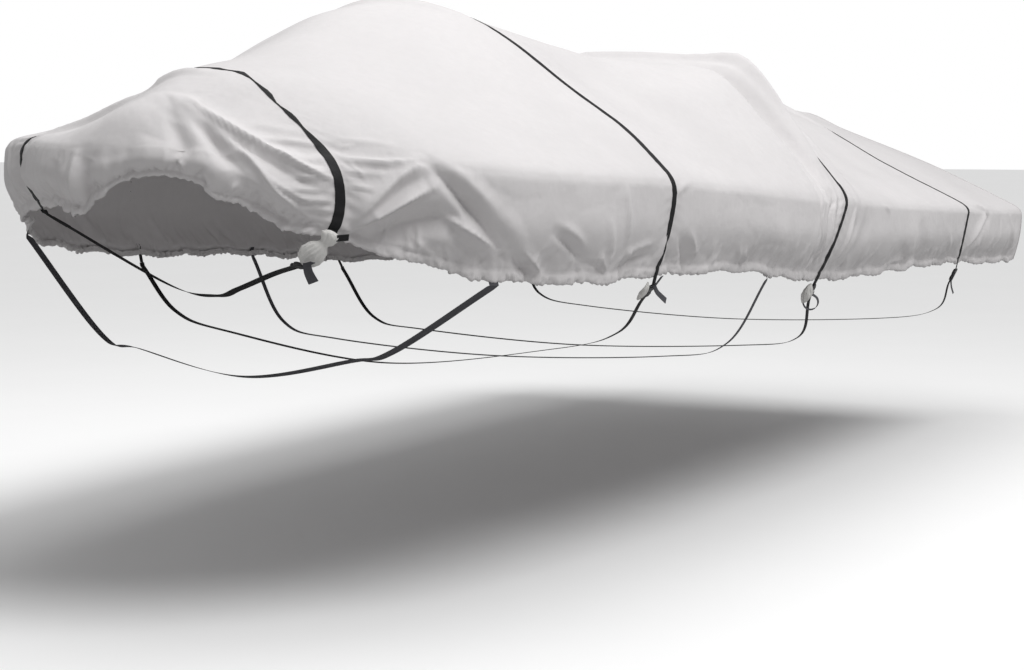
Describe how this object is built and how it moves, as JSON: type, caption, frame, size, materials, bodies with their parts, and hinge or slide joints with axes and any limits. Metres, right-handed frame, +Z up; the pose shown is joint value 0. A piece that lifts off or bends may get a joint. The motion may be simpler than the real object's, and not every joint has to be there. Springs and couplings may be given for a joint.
{
  "type": "boat cover",
  "caption": "Fitted pale grey boat cover draped as over a small open boat, with an elastic hem, dark webbing sewn across it and tie-down straps below.",
  "frame": {"origin": "under the cloth at its highest point, where the boat's own support carries it", "axes": "+Z up, -Y to the bow, +X to port"},
  "size_m": [2.2343, 5.3643, 1.2509],
  "materials": {
    "cloth": "matt, tightly woven coated polyester",
    "webbing": "matt flat-woven webbing",
    "plastic": "moulded, faint sheen",
    "gather": "soft light binding cloth"
  },
  "bodies": {
    "root": {"cover": "cloth", "bow_strap": "webbing", "front_strap": "webbing", "middle_strap": "webbing", "stern_strap": "webbing", "bow_tie": "webbing", "fore_tie": "webbing", "front_tie": "webbing", "side_tie": "webbing", "middle_tie": "webbing", "stern_tie": "webbing", "bow_tie_tail": "webbing", "front_tie_tail": "webbing", "middle_tie_tail": "webbing", "stern_tie_tail": "webbing", "bow_tie_buckle": "plastic", "front_tie_buckle": "plastic", "middle_tie_buckle": "plastic", "stern_tie_buckle": "plastic", "hem_gather": "gather"}
  },
  "joints": []
}
